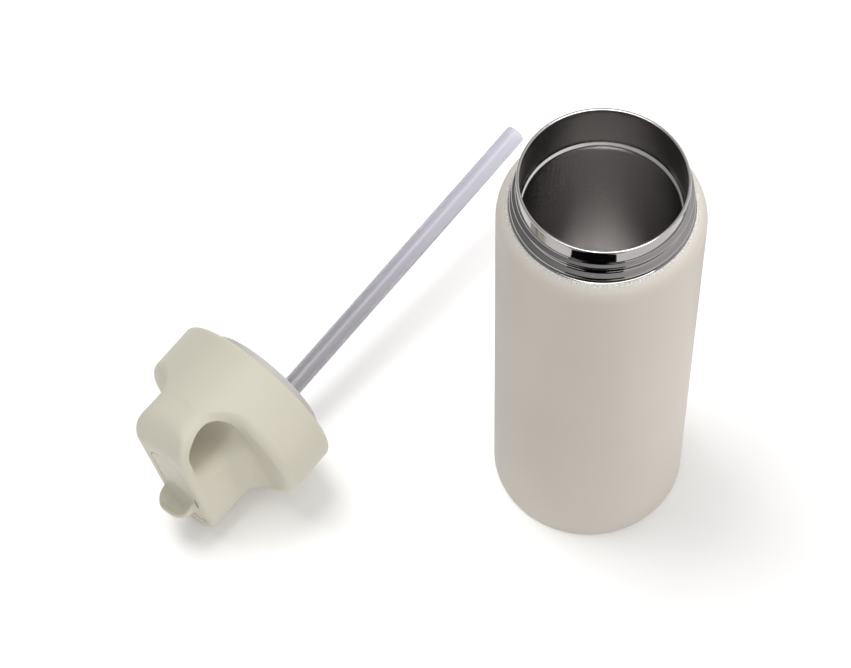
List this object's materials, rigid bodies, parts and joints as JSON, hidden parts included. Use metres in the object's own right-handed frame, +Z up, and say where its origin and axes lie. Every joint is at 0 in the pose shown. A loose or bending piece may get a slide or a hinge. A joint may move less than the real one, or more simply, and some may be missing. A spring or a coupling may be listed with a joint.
{
  "type": "insulated water bottle",
  "caption": "Double-wall insulated drinking bottle, standing open, with its screw lid lying beside it: carry bridge, flip spout with a thumb tab and a long straw.",
  "frame": {"origin": "centre of the bottle's flat base, on the surface it stands on", "axes": "+Z up along the bottle's axis; the lid lies on the -X side with its straw pointing away towards +Y"},
  "size_m": [0.2056, 0.1749, 0.191],
  "materials": {
    "polished_steel": "polished stainless steel neck with a rolled thread",
    "brushed_inner_steel": "satin electropolished stainless steel inside, polished lip and sealing bead",
    "powder_coat": "fine matte powder coat, warm stone beige",
    "foil": "bright thin foil wrapped round the inner vessel",
    "satin_steel": "satin stainless steel disc",
    "getter_alloy": "sintered grey getter pill",
    "seal_glass": "fused glass solder bead",
    "cap_plastic": "soft-touch matte polypropylene, warm stone beige",
    "spout_plastic": "soft-touch matte polypropylene, warm stone beige",
    "liner_plastic": "satin grey polypropylene",
    "silicone": "translucent pale grey silicone",
    "foam": "rigid white insulating foam",
    "pin_steel": "ground stainless steel pins",
    "straw_plastic": "milky translucent polypropylene tube"
  },
  "bodies": {
    "bottle": {"outer_shell": "polished_steel", "powder_coat": "powder_coat", "inner_vessel": "brushed_inner_steel", "radiant_foil": "foil", "base_cup": "powder_coat", "base_disc": "satin_steel", "getter": "getter_alloy", "vacuum_seal_plug": "seal_glass"},
    "lid": {"cap_body": "cap_plastic", "carry_bridge": "cap_plastic", "cap_liner": "liner_plastic", "cap_gasket": "silicone", "lid_insulation": "foam", "straw_adapter": "silicone", "spout_seat": "silicone", "vent_valve": "silicone"},
    "spout": {"spout": "spout_plastic", "hinge_pins": "pin_steel"},
    "straw": {"straw": "straw_plastic"}
  },
  "joints": [
    {"name": "lid_lift", "type": "slide", "parent": "bottle", "child": "lid", "axis": [0, 0, 1], "range_m": [0, 0.2]},
    {"name": "spout_flip", "type": "hinge", "parent": "lid", "child": "spout", "pos_m": [-0.14876, -0.03811, 0.01441], "axis": [0.7955, -0.5858, 0.1551], "range_deg": [0, 90]},
    {"name": "straw_pull", "type": "slide", "parent": "lid", "child": "straw", "axis": [0.5716, 0.8103, 0.1288], "range_m": [0, 0.03]}
  ]
}
